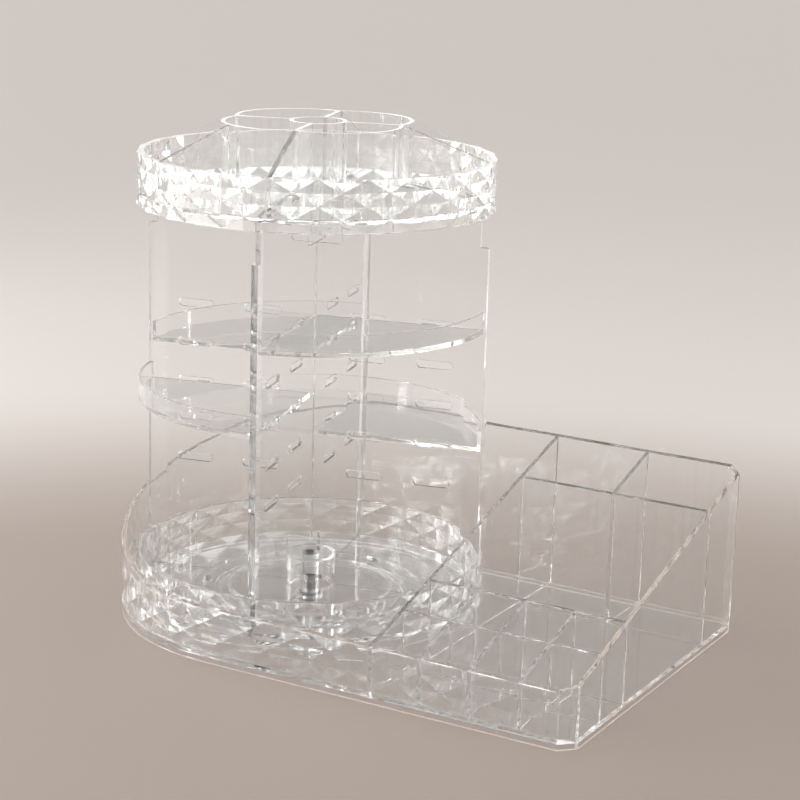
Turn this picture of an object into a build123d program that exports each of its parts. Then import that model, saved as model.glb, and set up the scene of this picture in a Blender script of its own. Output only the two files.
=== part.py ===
from build123d import *
import math
import os

# Rotating makeup organizer in clear moulded plastic: a long tray with fixed
# compartments on the right, and a carousel that turns in its round left end.
# Millimetres, +Z up, +X along the tray, +Y to the back. The origin is on the
# table, under the middle of the tray. Angles are in degrees.

# Carousel
CAROUSEL_TURN = 17.2
TOP_TRAY_RADIUS = 112.0  # also the reach of the crossed panels
RIM_STEP = 1.0  # by which the turntable and the shelves are smaller
RIM_WALL = 3.8  # of the turntable, under the tips of the diamonds
DISH_FLOOR = 2.5

# Tray walls
TRAY_CLEARANCE = 7.5  # between the turntable and the tray's round end
TRAY_WALL = 3.0
CORNER_CUT_WIDTH = 9.0  # the two right corners are cut off at 45 degrees
FRONT_HEIGHT = 34.5
BACK_HEIGHT = 108.5
UNDERSIDE_RECESS = 3.0
TRAY_FLOOR = 3.0
POCKET_CORNER_WIDTH = 1.5

# Fixed compartments
DIVIDER = 2.4
CELL_PITCH = 32.5
CELLS_ACROSS = 4
BAY_CLEARANCE = 4.0  # between the top tray and the wall beside it
FRONT_ROW_DEPTH = 38.5
SECOND_ROW_DEPTH = 32.0
BACK_ROW_DEPTH = 53.5

# Diamond facets, shared by the tray and both round rims
FACET_DEPTH = 1.3
TRAY_SKIRT = 7.5
TRAY_ROWS = 3
FRONT_COLUMNS = 16
ROUND_END_COLUMNS = 24
RIM_ROWS = 4
RIM_COLUMNS = 48
RIM_ROW_HEIGHT = 8.0
RIM_ROWS_ABOVE_FLOOR = 3

# Ball bearing under the turntable
BALL_DIAMETER = 6.0
BALL_COUNT = 6
BALL_COLUMNS = 12
BALL_ROWS = 4
BALL_FLAT_ANGLE = 80.0  # latitude of the small flats at the poles of a ball
BALL_PLAY = 0.25
BALL_PHASE = 5.5
TRACK_RADIUS = 68.0
TRACK_WIDTH = 13.0
TRACK_RISE = 2.2
TRACK_LIP_WIDTH = 1.8
TRACK_LIP_RISE = 2.4
CAGE_THICKNESS = 4.0
CAGE_CLEARANCE = 0.4
BALL_POCKET_CLEARANCE = 0.3
BALL_POCKET_SIDES = 8

# Hub and pivot
HUB_RADIUS = 16.5
HUB_WALL = 2.2
HUB_HEIGHT = 20.3
SLEEVE_RADIUS = 6.2
SLEEVE_CLEARANCE = 0.3
SCREW_RADIUS = 2.5
SCREW_CLEARANCE = 0.1
SCREW_GRIP = 13.0
SCREW_HEAD_RADIUS = 5.0
SCREW_HEAD_HEIGHT = 2.2
SCREW_HEAD_BEVEL = 0.9
SCREW_HEAD_PLAY = 0.2
WASHER_RADIUS = 7.0
WASHER_THICKNESS = 1.2
BOSS_RADIUS = 9.0
BOSS_RISE = 2.0
FLOOR_RIB_RADIUS = 52.0
FLOOR_RIB_WIDTH = 1.6
FLOOR_RIB_DROP = 1.5

# Crossed panels: a thin web that widens towards its two upright edges
PANEL_TURN = -3.5  # of the panels and shelves, against the turntable
PANEL_WEB = 2.0
PANEL_EDGE = 4.2
PANEL_FLARE_WIDTH = 12.0
PANEL_HEIGHT = 254.5
PANEL_RIM_CLEARANCE = 0.5
PANEL_STEP_HEIGHT = 25.0
HUB_NOTCH_WIDTH = 35.0
HUB_NOTCH_HEIGHT = 29.9
LAP_CLEARANCE = 0.1
SLOT_LENGTH = 23.5
SLOT_HEIGHT = 5.0
OPENING_BEVEL = 1.5  # cuts the corners of the slots and of the hub notches
SLOT_INNER_X = 35.3
SLOT_OUTER_X = 80.0
LEVEL_PITCH = 25.65
LEVELS = 5

# Quarter round shelves
SHELF_GAP = 0.3  # from the panels' wide edges
SHELF_PLATE = 2.6
SHELF_RIM_HEIGHT = 13.2
SHELF_RIM_WALL = 2.2
SHELF_HUB_CORNER_WIDTH = 2.0
TAB_LENGTH = 9.0
TAB_RECESS = 0.2  # of a tab's end, inside the panel's far face
TAB_END_PLAY = 2.2
TAB_SEAT_GAP = 0.2

# Top tray
TOP_DIVIDER = 3.0
CUP_HEIGHT = 44.0
CUP_WALL = 2.4
LOBE_RADIUS = 41.5
LOBE_CENTRE_RADIUS = 21.0
CENTRE_CUP_RADIUS = 18.0

# Levels and places that follow from the sizes above
TURNTABLE_RADIUS = TOP_TRAY_RADIUS - RIM_STEP
SHELF_RADIUS = TOP_TRAY_RADIUS - RIM_STEP
RIM_INNER_RADIUS = TURNTABLE_RADIUS - RIM_WALL
TRAY_RADIUS = TURNTABLE_RADIUS + TRAY_CLEARANCE + TRAY_WALL  # half the tray's depth
MIDDLE_WALL_X = TOP_TRAY_RADIUS + BAY_CLEARANCE + DIVIDER / 2
TRAY_RIGHT = MIDDLE_WALL_X + CELLS_ACROSS * CELL_PITCH + TRAY_WALL / 2
AXIS_X = -(TRAY_RIGHT - TRAY_RADIUS) / 2  # the carousel axis, from the origin
TRAY_FLOOR_TOP = UNDERSIDE_RECESS + TRAY_FLOOR
SLOPE = (BACK_HEIGHT - FRONT_HEIGHT) / (2 * TRAY_RADIUS)
TRACK_TOP = TRAY_FLOOR_TOP + TRACK_RISE
CAGE_BOTTOM = TRACK_TOP + BALL_PLAY
TURNTABLE_UNDERSIDE = TRACK_TOP + BALL_DIAMETER + 2 * BALL_PLAY
TURNTABLE_TOP = TURNTABLE_UNDERSIDE + DISH_FLOOR
WASHER_BOTTOM = TRAY_FLOOR_TOP + BOSS_RISE
SLEEVE_BOTTOM = WASHER_BOTTOM + WASHER_THICKNESS + SLEEVE_CLEARANCE
HUB_TOP = TURNTABLE_TOP + HUB_HEIGHT
PANEL_TOP = TURNTABLE_TOP + PANEL_HEIGHT
PANEL_MIDDLE = TURNTABLE_TOP + PANEL_HEIGHT / 2
PANEL_NARROW_HALF = RIM_INNER_RADIUS - PANEL_RIM_CLEARANCE
SHELF_EDGE = PANEL_EDGE / 2 + SHELF_GAP  # from the middle plane of a panel
TOP_FLOOR_TOP = PANEL_TOP + DISH_FLOOR
TOP_RIM_TOP = TOP_FLOOR_TOP + RIM_ROWS_ABOVE_FLOOR * RIM_ROW_HEIGHT
CUP_TOP = TOP_FLOOR_TOP + CUP_HEIGHT
ON_AXIS = Pos(AXIS_X, 0, 0)
ON_CAROUSEL = ON_AXIS * Rot(0, 0, CAROUSEL_TURN)
ON_PANELS = ON_CAROUSEL * Rot(0, 0, PANEL_TURN)

# Shelves: quarter turns from the front right quarter, and level from the top
SHELVES = {
    "shelf_front_right": (0, 1),
    "shelf_back_right": (1, 4),
    "shelf_back_left": (2, 2),
    "shelf_front_left": (3, 3),
}


def level_height(level):
    """Height of the middle of the panel slots at a level, 1 at the top."""
    return PANEL_MIDDLE + ((LEVELS + 1) / 2 - level) * LEVEL_PITCH


def at_height(height, shape):
    return Pos(0, 0, height) * shape


def prism(sketch, bottom, top):
    return at_height(bottom, extrude(sketch, top - bottom))


def ring(outer, inner, bottom, top):
    return prism(Circle(outer) - Circle(inner), bottom, top)


def bevelled(width, height, bevel):
    """Rectangle with its four corners cut off."""
    return chamfer(Rectangle(width, height).vertices(), bevel)


def facet_drum(node, columns, rows, is_flat):
    """Closed drum whose side is a lattice of flat triangles.

    node(i, j) is the lattice point of column i and row j. The points where
    i + j is even are the crossings of the diagonal grooves, and the others
    are the tips of the diamonds, so each cell is split along the diagonal
    that joins its two crossings. A flat column keeps its whole cells.
    """
    faces = []
    for i in range(columns):
        for j in range(rows):
            a, b, c, d = node(i, j), node(i + 1, j), node(i + 1, j + 1), node(i, j + 1)
            if is_flat(i):
                corners = [(a, b, c, d)]
            elif (i + j) % 2 == 0:
                corners = [(a, b, c), (a, c, d)]
            else:
                corners = [(a, b, d), (b, c, d)]
            faces += [Face(Wire.make_polygon(points)) for points in corners]
    for j in (0, rows):
        faces.append(Face(Wire.make_polygon([node(i, j) for i in range(columns)])))
    return Solid(Shell(faces))


def tray_outline(inset=0.0):
    """Plan of the tray, seen from the carousel axis, moved in by inset."""
    half = TRAY_RADIUS - inset
    right = TRAY_RIGHT - inset
    corner = CORNER_CUT_WIDTH - inset * (2 - math.sqrt(2))
    box = Pos(right / 2, 0) * Rectangle(right, 2 * half)
    box = chamfer(box.vertices().group_by(Axis.X)[-1], corner)
    return box + Circle(half)


def tray_node(i, j):
    """Lattice point of the tray's faceted band, from the front right corner."""
    i = i % (FRONT_COLUMNS + ROUND_END_COLUMNS + 4)
    height = TRAY_SKIRT + j * (FRONT_HEIGHT - TRAY_SKIRT) / TRAY_ROWS
    straight = TRAY_RIGHT - CORNER_CUT_WIDTH
    last = FRONT_COLUMNS + ROUND_END_COLUMNS
    groove = (i + j) % 2 == 0 and 0 < i < last
    radius = TRAY_RADIUS - (FACET_DEPTH if groove else 0)
    if i <= FRONT_COLUMNS:
        return Vector(straight * (1 - i / FRONT_COLUMNS), -radius, height)
    if i <= last:
        turn = math.pi * (i - FRONT_COLUMNS) / ROUND_END_COLUMNS
        return Vector(-radius * math.sin(turn), -radius * math.cos(turn), height)
    corner_y = TRAY_RADIUS - CORNER_CUT_WIDTH
    right_end = [(straight, TRAY_RADIUS), (TRAY_RIGHT, corner_y), (TRAY_RIGHT, -corner_y)]
    x, y = right_end[i - last - 1]
    return Vector(x, y, height)


def tray_shell():
    """Outer form: skirt, faceted band and plain wall under the sloping top."""
    columns = FRONT_COLUMNS + ROUND_END_COLUMNS + 4

    def is_flat(i):
        return i >= FRONT_COLUMNS + ROUND_END_COLUMNS

    skirt = prism(tray_outline(), 0, TRAY_SKIRT)
    band = facet_drum(tray_node, columns, TRAY_ROWS, is_flat)
    upper = prism(tray_outline(), FRONT_HEIGHT, BACK_HEIGHT)
    return skirt + band + upper


def under_slope():
    """Everything below the inclined plane that all the tray's walls end at."""
    reach = 1.5 * TRAY_RADIUS
    rise = SLOPE * (reach - TRAY_RADIUS)
    side = Plane.YZ * Polygon(
        (-reach, 0), (reach, 0), (reach, BACK_HEIGHT + rise), (-reach, FRONT_HEIGHT - rise), align=None
    )
    return extrude(side, 2 * TRAY_RIGHT, both=True)


def divider_plan():
    """Plan of the fixed dividers right of the carousel."""
    right = TRAY_RIGHT - TRAY_WALL / 2
    second_y = FRONT_ROW_DEPTH + SECOND_ROW_DEPTH - TRAY_RADIUS
    back_y = TRAY_RADIUS - BACK_ROW_DEPTH
    plan = Pos(MIDDLE_WALL_X, 0) * Rectangle(DIVIDER, 2 * TRAY_RADIUS)
    for y in (FRONT_ROW_DEPTH - TRAY_RADIUS, second_y, back_y):
        plan += Pos((MIDDLE_WALL_X + right) / 2, y) * Rectangle(right - MIDDLE_WALL_X, DIVIDER)
    for cell in range(1, CELLS_ACROSS):
        x = MIDDLE_WALL_X + cell * CELL_PITCH
        plan += Pos(x, (second_y - TRAY_RADIUS) / 2) * Rectangle(DIVIDER, TRAY_RADIUS + second_y)
    middle_x = MIDDLE_WALL_X + CELLS_ACROSS * CELL_PITCH / 2
    plan += Pos(middle_x, (back_y + TRAY_RADIUS) / 2) * Rectangle(DIVIDER, BACK_ROW_DEPTH)
    return plan


def tray_pockets():
    """The carousel bay and the compartments, each with its corners cut off."""
    plan = tray_outline(TRAY_WALL) - divider_plan()
    pockets = [
        chamfer(face.vertices().filter_by(is_corner), POCKET_CORNER_WIDTH) for face in plan.faces()
    ]
    return [prism(pocket, TRAY_FLOOR_TOP, BACK_HEIGHT) for pocket in pockets]


def is_corner(vertex):
    """The bay's arc joins its straight walls smoothly at x = 0."""
    return abs(vertex.X) > POCKET_CORNER_WIDTH


def bearing_track():
    """Raised channel on the tray floor that the balls run in."""
    inner = TRACK_RADIUS - TRACK_WIDTH / 2
    outer = TRACK_RADIUS + TRACK_WIDTH / 2
    base = ring(outer + TRACK_LIP_WIDTH, inner - TRACK_LIP_WIDTH, TRAY_FLOOR_TOP, TRACK_TOP)
    channel = ring(outer, inner, TRACK_TOP, TRACK_TOP + TRACK_LIP_RISE)
    lips = ring(outer + TRACK_LIP_WIDTH, inner - TRACK_LIP_WIDTH, TRACK_TOP, TRACK_TOP + TRACK_LIP_RISE)
    return base + (lips - channel)


def base_tray():
    tray = tray_shell() & under_slope()
    tray -= tray_pockets()
    tray -= prism(tray_outline(TRAY_WALL), 0, UNDERSIDE_RECESS)
    tray += bearing_track()
    tray += prism(Circle(BOSS_RADIUS), TRAY_FLOOR_TOP, WASHER_BOTTOM)
    tray -= prism(Circle(SCREW_RADIUS + SCREW_CLEARANCE), 0, WASHER_BOTTOM)
    return ON_AXIS * tray


def pivot_washer():
    bore = SCREW_RADIUS + SCREW_CLEARANCE
    return ON_AXIS * ring(WASHER_RADIUS, bore, WASHER_BOTTOM, WASHER_BOTTOM + WASHER_THICKNESS)


def pivot_screw():
    """Low head under the tray floor, shank up into the turntable's sleeve."""
    head_top = UNDERSIDE_RECESS - SCREW_HEAD_PLAY
    head = prism(Circle(SCREW_HEAD_RADIUS), head_top - SCREW_HEAD_HEIGHT, head_top)
    head = chamfer(head.edges().group_by(Axis.Z)[0], SCREW_HEAD_BEVEL)
    shank = prism(Circle(SCREW_RADIUS), head_top, SLEEVE_BOTTOM + SCREW_GRIP)
    return ON_CAROUSEL * (head + shank)


def ball_places():
    return ON_CAROUSEL * PolarLocations(TRACK_RADIUS, BALL_COUNT, start_angle=BALL_PHASE)


def ball_node(i, j):
    """Lattice point of a ball: column i of longitude and row j of latitude."""
    turn = 2 * math.pi * i / BALL_COLUMNS
    rise = math.radians(BALL_FLAT_ANGLE) * (2 * j / BALL_ROWS - 1)
    reach = BALL_DIAMETER / 2 * math.cos(rise)
    return Vector(reach * math.cos(turn), reach * math.sin(turn), BALL_DIAMETER / 2 * math.sin(rise))


def bearing_balls():
    ball = facet_drum(ball_node, BALL_COLUMNS, BALL_ROWS, lambda i: True)
    centre = TRACK_TOP + BALL_PLAY + BALL_DIAMETER / 2
    return [place * at_height(centre, ball) for place in ball_places()]


def ball_cage():
    """Flat ring that keeps the balls evenly spaced in the track."""
    half = TRACK_WIDTH / 2 - CAGE_CLEARANCE
    cage = ring(TRACK_RADIUS + half, TRACK_RADIUS - half, CAGE_BOTTOM, CAGE_BOTTOM + CAGE_THICKNESS)
    reach = BALL_DIAMETER / 2 + BALL_POCKET_CLEARANCE
    pocket = RegularPolygon(reach, BALL_POCKET_SIDES, major_radius=False)
    hole = prism(pocket, CAGE_BOTTOM, CAGE_BOTTOM + CAGE_THICKNESS)
    return ON_AXIS * cage - [place * hole for place in ball_places()]


def faceted_dish(radius, floor_top):
    """Round dish: a faceted rim that runs on below the floor as a skirt."""
    rim_bottom = floor_top - (RIM_ROWS - RIM_ROWS_ABOVE_FLOOR) * RIM_ROW_HEIGHT
    rim_top = floor_top + RIM_ROWS_ABOVE_FLOOR * RIM_ROW_HEIGHT

    def node(i, j):
        reach = radius - (FACET_DEPTH if (i + j) % 2 == 0 else 0)
        turn = 2 * math.pi * i / RIM_COLUMNS
        height = rim_bottom + j * RIM_ROW_HEIGHT
        return Vector(reach * math.cos(turn), reach * math.sin(turn), height)

    drum = facet_drum(node, RIM_COLUMNS, RIM_ROWS, lambda i: False)
    drum -= prism(Circle(RIM_INNER_RADIUS), floor_top, rim_top)
    return drum - prism(Circle(RIM_INNER_RADIUS), rim_bottom, floor_top - DISH_FLOOR)


def turntable():
    dish = faceted_dish(TURNTABLE_RADIUS, TURNTABLE_TOP)
    dish += ring(
        FLOOR_RIB_RADIUS + FLOOR_RIB_WIDTH,
        FLOOR_RIB_RADIUS,
        TURNTABLE_UNDERSIDE - FLOOR_RIB_DROP,
        TURNTABLE_UNDERSIDE,
    )
    dish += prism(Circle(HUB_RADIUS), TURNTABLE_UNDERSIDE, HUB_TOP)
    hollow = prism(Circle(HUB_RADIUS - HUB_WALL), TURNTABLE_UNDERSIDE, HUB_TOP - HUB_WALL)
    dish = dish - hollow + prism(Circle(SLEEVE_RADIUS), SLEEVE_BOTTOM, HUB_TOP - HUB_WALL)
    return ON_CAROUSEL * (dish - prism(Circle(SCREW_RADIUS), SLEEVE_BOTTOM, SLEEVE_BOTTOM + SCREW_GRIP))


def panel_plan(lap_side):
    """Panel outline seen square on; its lap opens down (-1) or up (+1)."""
    plan = Rectangle(2 * TOP_TRAY_RADIUS, PANEL_HEIGHT)
    step = TOP_TRAY_RADIUS - PANEL_NARROW_HALF
    for x in (-1, 1):
        for y in (-1, 1):
            corner = Pos(
                x * (TOP_TRAY_RADIUS - step / 2), y * (PANEL_HEIGHT - PANEL_STEP_HEIGHT) / 2
            )
            plan -= corner * Rectangle(step, PANEL_STEP_HEIGHT)
    notch = bevelled(HUB_NOTCH_WIDTH, 2 * HUB_NOTCH_HEIGHT, OPENING_BEVEL)
    plan -= [Pos(0, y * PANEL_HEIGHT / 2) * notch for y in (-1, 1)]
    lap = Rectangle(PANEL_WEB + 2 * LAP_CLEARANCE, PANEL_HEIGHT / 2)
    plan -= Pos(0, lap_side * PANEL_HEIGHT / 4) * lap
    slot = bevelled(SLOT_LENGTH, SLOT_HEIGHT, OPENING_BEVEL)
    for level in range(1, LEVELS + 1):
        y = level_height(level) - PANEL_MIDDLE
        for x in (SLOT_INNER_X, SLOT_OUTER_X):
            plan -= [Pos(side * x, y) * slot for side in (-1, 1)]
    return plan


def panel_section():
    """Panel seen from above: the web, and a wedge at each upright edge."""
    web, edge = PANEL_WEB / 2, PANEL_EDGE / 2
    flare = TOP_TRAY_RADIUS - PANEL_FLARE_WIDTH
    right = [(flare, -web), (TOP_TRAY_RADIUS, -edge), (TOP_TRAY_RADIUS, edge), (flare, web)]
    left = [(-x, -y) for x, y in right]
    return Polygon(*right, *left, align=None)


def cross_panel(lap_side, turn):
    panel = extrude(Plane.XZ * panel_plan(lap_side), PANEL_EDGE / 2, both=True)
    panel &= prism(panel_section(), -PANEL_HEIGHT / 2, PANEL_HEIGHT / 2)
    return ON_PANELS * Pos(0, 0, PANEL_MIDDLE) * Rot(0, 0, turn) * panel


def shelf_plan():
    """Quarter disc between two panels, in the quarter where x > 0 and y < 0."""
    corner = (Align.MIN, Align.MAX)
    quarter = Pos(SHELF_EDGE, -SHELF_EDGE) * Rectangle(SHELF_RADIUS, SHELF_RADIUS, align=corner)
    plan = Circle(SHELF_RADIUS) & quarter
    inner = plan.vertices().sort_by(lambda v: math.hypot(v.X, v.Y))[0]
    return chamfer(inner, SHELF_HUB_CORNER_WIDTH)


def shelf(quarter, level):
    """Plate with a rim along its arc and two tabs on each straight edge."""
    bottom = level_height(level) - SLOT_HEIGHT / 2 + TAB_SEAT_GAP
    body = prism(shelf_plan(), bottom, bottom + SHELF_RIM_HEIGHT)
    body -= prism(Circle(SHELF_RADIUS - SHELF_RIM_WALL), bottom + SHELF_PLATE, bottom + SHELF_RIM_HEIGHT)
    reach = SHELF_EDGE + PANEL_WEB / 2 - TAB_RECESS
    across = SHELF_EDGE - reach / 2
    for slot_x in (SLOT_INNER_X, SLOT_OUTER_X):
        along = slot_x - SLOT_LENGTH / 2 + TAB_END_PLAY + TAB_LENGTH / 2
        body += Pos(along, -across, bottom) * tab_block(TAB_LENGTH, reach)
        body += Pos(across, -along, bottom) * tab_block(reach, TAB_LENGTH)
    return ON_PANELS * Rot(0, 0, 90 * quarter) * body


def tab_block(length, width):
    return Box(length, width, SHELF_PLATE, align=(Align.CENTER, Align.CENTER, Align.MIN))


def lobes(radius):
    """Clover of four overlapping discs between the dividers."""
    places = PolarLocations(LOBE_CENTRE_RADIUS, 4, start_angle=45)
    return Sketch() + [place * Circle(radius) for place in places]


def sloping_divider(inner, knee):
    """Upright wall from inner out to the rim, level as far as the knee."""
    outer = RIM_INNER_RADIUS + FACET_DEPTH
    side = Plane.XZ * Polygon(
        (inner, TOP_FLOOR_TOP),
        (outer, TOP_FLOOR_TOP),
        (outer, TOP_RIM_TOP),
        (knee, CUP_TOP),
        (inner, CUP_TOP),
        align=None,
    )
    return extrude(side, TOP_DIVIDER / 2, both=True)


def top_dividers():
    """Four walls through the clover's cusps, and two from its lobes."""
    side = LOBE_CENTRE_RADIUS * math.cos(math.pi / 4)
    cusp = side + math.sqrt(LOBE_RADIUS**2 - side**2)
    lobe_tip = LOBE_CENTRE_RADIUS + LOBE_RADIUS
    straight = sloping_divider(0, cusp)
    diagonal = sloping_divider(lobe_tip - CUP_WALL, lobe_tip)
    walls = [Rot(0, 0, 90 * turn) * straight for turn in range(4)]
    return walls + [Rot(0, 0, 45 + 180 * turn) * diagonal for turn in range(2)]


def top_tray():
    tray = faceted_dish(TOP_TRAY_RADIUS, TOP_FLOOR_TOP)
    tray += prism(lobes(LOBE_RADIUS) - lobes(LOBE_RADIUS - CUP_WALL), TOP_FLOOR_TOP, CUP_TOP)
    tray += top_dividers()
    tray += prism(Circle(CENTRE_CUP_RADIUS), TOP_FLOOR_TOP, CUP_TOP)
    tray -= prism(Circle(CENTRE_CUP_RADIUS - CUP_WALL), TOP_FLOOR_TOP, CUP_TOP)
    return ON_CAROUSEL * tray


def all_parts():
    parts = {
        "base_tray": base_tray(),
        "pivot_washer": pivot_washer(),
        "pivot_screw": pivot_screw(),
        "ball_cage": ball_cage(),
        "turntable": turntable(),
        "panel_side_to_side": cross_panel(1, 0),
        "panel_front_to_back": cross_panel(-1, 90),
        "top_tray": top_tray(),
    }
    for number, ball in enumerate(bearing_balls(), 1):
        parts[f"bearing_ball_{number}"] = ball
    for name, (quarter, level) in SHELVES.items():
        parts[name] = shelf(quarter, level)
    return parts


os.makedirs("parts", exist_ok=True)
for name, solid in all_parts().items():
    export_step(solid, f"parts/{name}.step")
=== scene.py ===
"""Looks of the rotating makeup organizer: clear moulded plastic on a pale floor.

Lengths are in metres, colours are linear values, and directions are those of
the part: +X right along the tray, +Y to the back, +Z up.
"""

import math

import bpy
import numpy as np
from mathutils import Matrix, Vector


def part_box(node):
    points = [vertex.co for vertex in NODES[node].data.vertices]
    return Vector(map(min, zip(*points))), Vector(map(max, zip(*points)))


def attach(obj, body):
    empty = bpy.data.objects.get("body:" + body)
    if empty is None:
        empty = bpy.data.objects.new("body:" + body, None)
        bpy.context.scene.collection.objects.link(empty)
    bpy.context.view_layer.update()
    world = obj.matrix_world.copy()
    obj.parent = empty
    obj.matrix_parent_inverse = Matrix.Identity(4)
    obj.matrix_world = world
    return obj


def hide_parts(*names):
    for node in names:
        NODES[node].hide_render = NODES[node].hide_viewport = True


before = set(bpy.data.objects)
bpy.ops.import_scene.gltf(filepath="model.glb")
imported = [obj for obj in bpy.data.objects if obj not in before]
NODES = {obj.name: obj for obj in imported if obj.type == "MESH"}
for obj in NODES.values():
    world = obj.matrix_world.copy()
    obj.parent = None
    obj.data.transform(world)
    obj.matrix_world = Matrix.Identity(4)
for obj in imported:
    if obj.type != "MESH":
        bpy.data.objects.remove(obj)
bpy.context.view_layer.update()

# Camera, fitted to the photograph
CAMERA_PLACE = Vector((0.6510, -1.14246, 0.48867))
CAMERA_YAW = math.radians(29.66)
CAMERA_PITCH = math.radians(-14.48)
CAMERA_ROLL = math.radians(1.70)
PHOTO_WIDTH = 800
FOCAL_PIXELS = 2175.24
SENSOR = 36.0
CAMERA_REACH = 200

# Light goes round inside the clear walls many times before it leaves them
RAY_BOUNCES = 160
STRAIGHT_LAYERS = 48

# Nearly all of a noise's values lie between these two
NOISE_LOW = 0.3
NOISE_HIGH = 0.7

# Clear plastic
CLEAR_TINT = (0.985, 0.99, 0.992, 1)
CLEARNESS = 0.996
PLASTIC_IOR = 1.53
EDGE_ROUNDING = 0.0004
EDGE_SAMPLES = 3
SMEAR_ROUGHNESS = 0.014
LAMP_LIGHT_KEPT = (0.96, 0.96, 0.96, 1)

# Steel, its balls and the dark washer
STEEL = (0.36, 0.36, 0.37, 1)
DARK_PLASTIC = (0.09, 0.088, 0.09, 1)
WEAR_SCALE = 300
BALL_DIAMETER = 0.006
BALL_RINGS = 17
BALL_COLUMNS = 32

# Floor: a deeper tone is painted round the part as painted shade; the two reaches are distances
# from the middle of that painted shade
FLOOR_RADIUS = 30.0
FLOOR_SIDES = 96
FLOOR_PAINTED_SHADE = (0.365, 0.305, 0.27, 1)
FLOOR_FAR = (0.68, 0.635, 0.605, 1)
PAINTED_SHADE_MIDDLE = (0.25, -0.45, 0)
PAINTED_SHADE_FULL_REACH = 0.68
PAINTED_SHADE_END_REACH = 1.15
FLOOR_ROUGHNESS = 0.62

# Room: cosines are to the window's direction, heights are sines of elevation
ROOM_DIM = (0.42, 0.405, 0.39, 1)
WINDOW_TONE = (1.8, 1.78, 1.74, 1)
WINDOW_SIDE = (-0.95, -0.3, 0.15)
WINDOW_EDGE_COSINE = 0.45
WINDOW_FULL_COSINE = 0.9
HORIZON_WINDOW_TONE = (5.6, 5.5, 5.4, 1)
HORIZON_FAR_TONE = (1.65, 1.62, 1.59, 1)
HORIZON_FAR_COSINE = 0.25
HORIZON_WINDOW_COSINE = 0.8
HORIZON_FULL_HEIGHT = 0.10
HORIZON_END_HEIGHT = 0.19

# Lamps: place, width, height and watts, all aimed at the middle of the part
SUN_SOURCE = (-1.0, -0.25, 0.75)
SUN_SPREAD = math.radians(24)
SUN_STRENGTH = 1.15
LAMP_AIM = (-0.03, 0, 0.14)
LAMPS = {
    "top_lamp": ((0.1, 0.25, 1.5), 0.7, 0.5, 1.6),
    "left_strip": ((-1.15, 0.25, 0.75), 0.05, 0.9, 2.6),
    "front_strip": ((-0.75, -0.95, 0.65), 0.16, 0.9, 3.4),
    "right_strip": ((1.0, 0.9, 0.8), 0.05, 0.9, 2.6),
}


def camera():
    """Looks along the fitted yaw and pitch, then rolls about that line."""
    forward = Vector((-math.sin(CAMERA_YAW) * math.cos(CAMERA_PITCH),
                      math.cos(CAMERA_YAW) * math.cos(CAMERA_PITCH),
                      math.sin(CAMERA_PITCH)))
    level = Vector((math.cos(CAMERA_YAW), math.sin(CAMERA_YAW), 0))
    upright = level.cross(forward)
    right = math.cos(CAMERA_ROLL) * level + math.sin(CAMERA_ROLL) * upright
    up = math.cos(CAMERA_ROLL) * upright - math.sin(CAMERA_ROLL) * level
    data = bpy.data.cameras.new("camera")
    data.sensor_width = SENSOR
    data.lens = FOCAL_PIXELS * SENSOR / PHOTO_WIDTH
    data.clip_end = CAMERA_REACH
    eye = bpy.data.objects.new("camera", data)
    turn = Matrix((right, up, -forward)).transposed().to_4x4()
    eye.matrix_world = Matrix.Translation(CAMERA_PLACE) @ turn
    bpy.context.scene.collection.objects.link(eye)
    bpy.context.scene.camera = eye


def new_material(name):
    """Material with an empty node tree."""
    material = bpy.data.materials.new(name)
    material.use_nodes = True
    material.node_tree.nodes.clear()
    return material, material.node_tree.nodes, material.node_tree.links


def object_noise(nodes, links, scale, detail, roughness=0.5):
    """Noise over a piece's own place, with about scale waves to the metre."""
    place = nodes.new("ShaderNodeTexCoord")
    noise = nodes.new("ShaderNodeTexNoise")
    noise.inputs["Scale"].default_value = scale
    noise.inputs["Detail"].default_value = detail
    noise.inputs["Roughness"].default_value = roughness
    links.new(place.outputs["Object"], noise.inputs["Vector"])
    return noise.outputs["Fac"]


def spread(nodes, links, source, low, high):
    """The usual values of a noise, stretched to run from low to high."""
    span = nodes.new("ShaderNodeMapRange")
    span.inputs["From Min"].default_value = NOISE_LOW
    span.inputs["From Max"].default_value = NOISE_HIGH
    span.inputs["To Min"].default_value = low
    span.inputs["To Max"].default_value = high
    links.new(source, span.inputs["Value"])
    return span.outputs["Result"]


def bump(nodes, links, source, height, strength, under=None):
    """Raises the surface by a noise, over the shape that is under it."""
    node = nodes.new("ShaderNodeBump")
    node.inputs["Distance"].default_value = height
    node.inputs["Strength"].default_value = strength
    links.new(source, node.inputs["Height"])
    if under is not None:
        links.new(under, node.inputs["Normal"])
    return node.outputs["Normal"]


def share_of(nodes, links, source, start, full):
    """Smooth share from 0 where the source is at start to 1 where it is full."""
    share = nodes.new("ShaderNodeMapRange")
    share.interpolation_type = "SMOOTHSTEP"
    share.inputs["From Min"].default_value = start
    share.inputs["From Max"].default_value = full
    links.new(source, share.inputs["Value"])
    return share.outputs["Result"]


def blend_tones(nodes, links, share, low, high):
    """Colour that goes from low to high with the share. Either may be a socket."""
    tone = nodes.new("ShaderNodeMix")
    tone.data_type = "RGBA"
    links.new(share, tone.inputs["Factor"])
    for socket, value in (("A", low), ("B", high)):
        if isinstance(value, tuple):
            tone.inputs[socket].default_value = value
        else:
            links.new(value, tone.inputs[socket])
    return tone.outputs["Result"]


def rounded_edges(nodes):
    """Shading as if each sharp edge had the small radius of a moulding."""
    edges = nodes.new("ShaderNodeBevel")
    edges.samples = EDGE_SAMPLES
    edges.inputs["Radius"].default_value = EDGE_ROUNDING
    return edges.outputs["Normal"]


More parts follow.
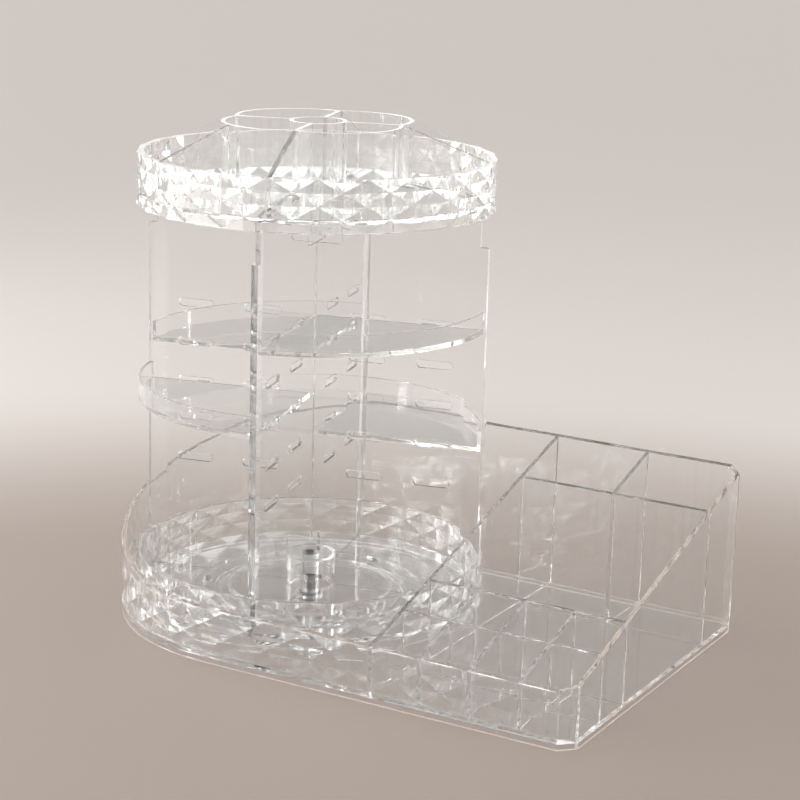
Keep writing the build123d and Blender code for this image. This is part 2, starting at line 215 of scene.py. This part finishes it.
def lamp_or_dull_ray(nodes, links):
    """1 for a ray that goes to a lamp or comes from a dull surface, else 0."""
    path = nodes.new("ShaderNodeLightPath")
    either = nodes.new("ShaderNodeMath")
    either.operation = "MAXIMUM"
    links.new(path.outputs["Is Shadow Ray"], either.inputs[0])
    links.new(path.outputs["Is Diffuse Ray"], either.inputs[1])
    return either.outputs["Value"]


def clear_plastic():
    """Clear styrene: slow ripples from the mould under a film of fine wear.

    Rays from lamps and between dull surfaces go straight through, so that the
    floor below a clear wall is lit as it is in a room.
    """
    material, nodes, links = new_material("clear_plastic")
    shader = nodes.new("ShaderNodeBsdfPrincipled")
    shader.inputs["Base Color"].default_value = CLEAR_TINT
    shader.inputs["Transmission Weight"].default_value = CLEARNESS
    shader.inputs["IOR"].default_value = PLASTIC_IOR
    smear = object_noise(nodes, links, scale=55, detail=5, roughness=0.6)
    wear = spread(nodes, links, smear, low=0.0, high=SMEAR_ROUGHNESS)
    links.new(wear, shader.inputs["Roughness"])
    ripple = object_noise(nodes, links, scale=28, detail=2)
    grain = object_noise(nodes, links, scale=420, detail=3)
    edges = rounded_edges(nodes)
    slow = bump(nodes, links, ripple, height=0.0003, strength=0.25, under=edges)
    fine = bump(nodes, links, grain, height=0.00001, strength=0.25, under=slow)
    links.new(fine, shader.inputs["Normal"])
    through = nodes.new("ShaderNodeBsdfTransparent")
    through.inputs["Color"].default_value = LAMP_LIGHT_KEPT
    mix = nodes.new("ShaderNodeMixShader")
    links.new(lamp_or_dull_ray(nodes, links), mix.inputs["Fac"])
    links.new(shader.outputs["BSDF"], mix.inputs[1])
    links.new(through.outputs["BSDF"], mix.inputs[2])
    out = nodes.new("ShaderNodeOutputMaterial")
    links.new(mix.outputs["Shader"], out.inputs["Surface"])
    return material


def solid_finish(name, colour, metallic, low, high, grain_height):
    """Opaque finish whose sheen runs from low to high over a fine grain."""
    material, nodes, links = new_material(name)
    shader = nodes.new("ShaderNodeBsdfPrincipled")
    shader.inputs["Base Color"].default_value = colour
    shader.inputs["Metallic"].default_value = metallic
    wear = object_noise(nodes, links, scale=WEAR_SCALE, detail=4, roughness=0.6)
    links.new(spread(nodes, links, wear, low, high), shader.inputs["Roughness"])
    grain = object_noise(nodes, links, scale=4 * WEAR_SCALE, detail=3)
    rough = bump(nodes, links, grain, height=grain_height, strength=0.5)
    links.new(rough, shader.inputs["Normal"])
    out = nodes.new("ShaderNodeOutputMaterial")
    links.new(shader.outputs["BSDF"], out.inputs["Surface"])
    return material


def closed_grid(name, grid):
    """Mesh of a grid of points whose columns close round.

    The first and the last row are poles, one point each. Each cell joins a
    point to the next in its row and to both below them, and faces outward.
    """
    rows, columns, _ = grid.shape
    points = np.concatenate([grid[:1, 0], grid[1:-1].reshape(-1, 3), grid[-1:, 0]])
    first = 1 + np.arange(columns)
    after = np.roll(first, -1)
    top = np.stack([0 * first, first, after], 1)
    starts = (np.arange(rows - 3) * columns)[:, None, None]
    upper = np.stack([after, first], 1) + starts
    cells = np.concatenate([upper, upper[:, :, ::-1] + columns], 2).reshape(-1, 4)
    last_row = (rows - 3) * columns
    pole = 0 * first + len(points) - 1
    end = np.stack([after + last_row, first + last_row, pole], 1)
    mesh = bpy.data.meshes.new(name)
    mesh.from_pydata(points.tolist(), [], top.tolist() + cells.tolist() + end.tolist())
    mesh.shade_smooth()
    piece = bpy.data.objects.new(name, mesh)
    bpy.context.scene.collection.objects.link(piece)
    return piece


def round_ball(name, node):
    """True sphere in the place of a coarse ball.

    A point at a polar angle and a longitude lies the sine of the polar angle
    out towards the longitude and its cosine up, both times the radius.
    """
    low, high = (Vector(corner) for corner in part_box(node))
    centre, radius = (low + high) / 2, BALL_DIAMETER / 2
    polar, turn = np.meshgrid(np.linspace(0, math.pi, BALL_RINGS),
                              np.linspace(0, 2 * math.pi, BALL_COLUMNS, endpoint=False),
                              indexing="ij")
    out = np.sin(polar)
    grid = np.stack([out * np.cos(turn), out * np.sin(turn), np.cos(polar)], 2)
    ball = closed_grid(name, radius * grid + np.array(centre))
    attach(ball, "ball_ring")
    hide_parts(node)
    return ball


def floor_material():
    """Plain floor with painted shade: a little deeper under and before the object, paler behind
    it.
    """
    material, nodes, links = new_material("pale_floor")
    shader = nodes.new("ShaderNodeBsdfPrincipled")
    shader.inputs["Roughness"].default_value = FLOOR_ROUGHNESS
    place = nodes.new("ShaderNodeTexCoord")
    reach = nodes.new("ShaderNodeVectorMath")
    reach.operation = "DISTANCE"
    reach.inputs[1].default_value = PAINTED_SHADE_MIDDLE
    links.new(place.outputs["Object"], reach.inputs[0])
    # Painted shade: the floor's tone is darker near the part, standing in for its shadow on the
    # floor
    share = share_of(nodes, links, reach.outputs["Value"], PAINTED_SHADE_FULL_REACH, PAINTED_SHADE_END_REACH)
    links.new(blend_tones(nodes, links, share, FLOOR_PAINTED_SHADE, FLOOR_FAR), shader.inputs["Base Color"])
    grain = object_noise(nodes, links, scale=260, detail=4)
    rough = bump(nodes, links, grain, height=0.0002, strength=0.3)
    links.new(rough, shader.inputs["Normal"])
    out = nodes.new("ShaderNodeOutputMaterial")
    links.new(shader.outputs["BSDF"], out.inputs["Surface"])
    return material


def floor():
    """Flat disc, much wider than the view: its rim is at one radius all round."""
    turn = np.linspace(0, 2 * math.pi, FLOOR_SIDES, endpoint=False)
    rim = np.stack([FLOOR_RADIUS * np.cos(turn), FLOOR_RADIUS * np.sin(turn), 0 * turn], 1)
    mesh = bpy.data.meshes.new("floor")
    mesh.from_pydata(rim.tolist(), [], [list(range(len(rim)))])
    mesh.materials.append(floor_material())
    disc = bpy.data.objects.new("floor", mesh)
    bpy.context.scene.collection.objects.link(disc)


def soft_lamp(name, place, width, height, watts):
    """Upright soft box that faces the middle of the part."""
    data = bpy.data.lights.new(name, "AREA")
    data.shape = "RECTANGLE"
    data.size = width
    data.size_y = height
    data.energy = watts
    lamp = bpy.data.objects.new(name, data)
    lamp.location = place
    towards = Vector(LAMP_AIM) - Vector(place)
    lamp.rotation_euler = towards.to_track_quat("-Z", "Y").to_euler()
    bpy.context.scene.collection.objects.link(lamp)


def window_sun():
    """Even light from the window's side, with the soft shadows of a wide window."""
    data = bpy.data.lights.new("window_sun", "SUN")
    data.energy = SUN_STRENGTH
    data.angle = SUN_SPREAD
    lamp = bpy.data.objects.new("window_sun", data)
    lamp.rotation_euler = Vector(SUN_SOURCE).to_track_quat("Z", "Y").to_euler()
    bpy.context.scene.collection.objects.link(lamp)


def room():
    """Even room with a wide window on the left and a bright band at the horizon.

    The window's share goes up with the cosine of a direction's angle to it.
    The band's share goes down with the direction's height, and its tone away
    from the window.
    """
    world = bpy.data.worlds.new("room")
    bpy.context.scene.world = world
    world.use_nodes = True
    nodes, links = world.node_tree.nodes, world.node_tree.links
    place = nodes.new("ShaderNodeTexCoord")
    towards = nodes.new("ShaderNodeVectorMath")
    towards.operation = "DOT_PRODUCT"
    towards.inputs[1].default_value = Vector(WINDOW_SIDE).normalized()
    links.new(place.outputs["Generated"], towards.inputs[0])
    cosine = towards.outputs["Value"]
    parts = nodes.new("ShaderNodeSeparateXYZ")
    links.new(place.outputs["Generated"], parts.inputs["Vector"])
    window = share_of(nodes, links, cosine, WINDOW_EDGE_COSINE, WINDOW_FULL_COSINE)
    side = share_of(nodes, links, cosine, HORIZON_FAR_COSINE, HORIZON_WINDOW_COSINE)
    band = share_of(nodes, links, parts.outputs["Z"], HORIZON_END_HEIGHT, HORIZON_FULL_HEIGHT)
    horizon = blend_tones(nodes, links, side, HORIZON_FAR_TONE, HORIZON_WINDOW_TONE)
    upper = blend_tones(nodes, links, window, ROOM_DIM, WINDOW_TONE)
    tone = blend_tones(nodes, links, band, upper, horizon)
    links.new(tone, nodes["Background"].inputs["Color"])


def finish_of(name):
    """Name of a CAD piece's finish."""
    if name.startswith("bearing_ball") or name == "pivot_screw":
        return "steel"
    return "dark" if name == "pivot_washer" else "clear"


scene = bpy.context.scene
scene.view_settings.view_transform = "Standard"
scene.cycles.max_bounces = RAY_BOUNCES
scene.cycles.transmission_bounces = RAY_BOUNCES
scene.cycles.glossy_bounces = RAY_BOUNCES
scene.cycles.transparent_max_bounces = STRAIGHT_LAYERS
camera()
floor()
room()
window_sun()
for lamp_name, (place, width, height, watts) in LAMPS.items():
    soft_lamp(lamp_name, place, width, height, watts)

FINISHES = {
    "clear": clear_plastic(),
    "steel": solid_finish("bearing_steel", STEEL, metallic=1.0,
                          low=0.12, high=0.3, grain_height=0.00002),
    "dark": solid_finish("dark_washer", DARK_PLASTIC, metallic=0.0,
                         low=0.4, high=0.55, grain_height=0.00004),
}
for name in [name for name in NODES if name.startswith("bearing_ball")]:
    ball = round_ball(name.replace("bearing", "round"), name)
    ball.data.materials.append(FINISHES["steel"])
for name, node in NODES.items():
    node.data.materials.clear()
    node.data.materials.append(FINISHES[finish_of(name)])
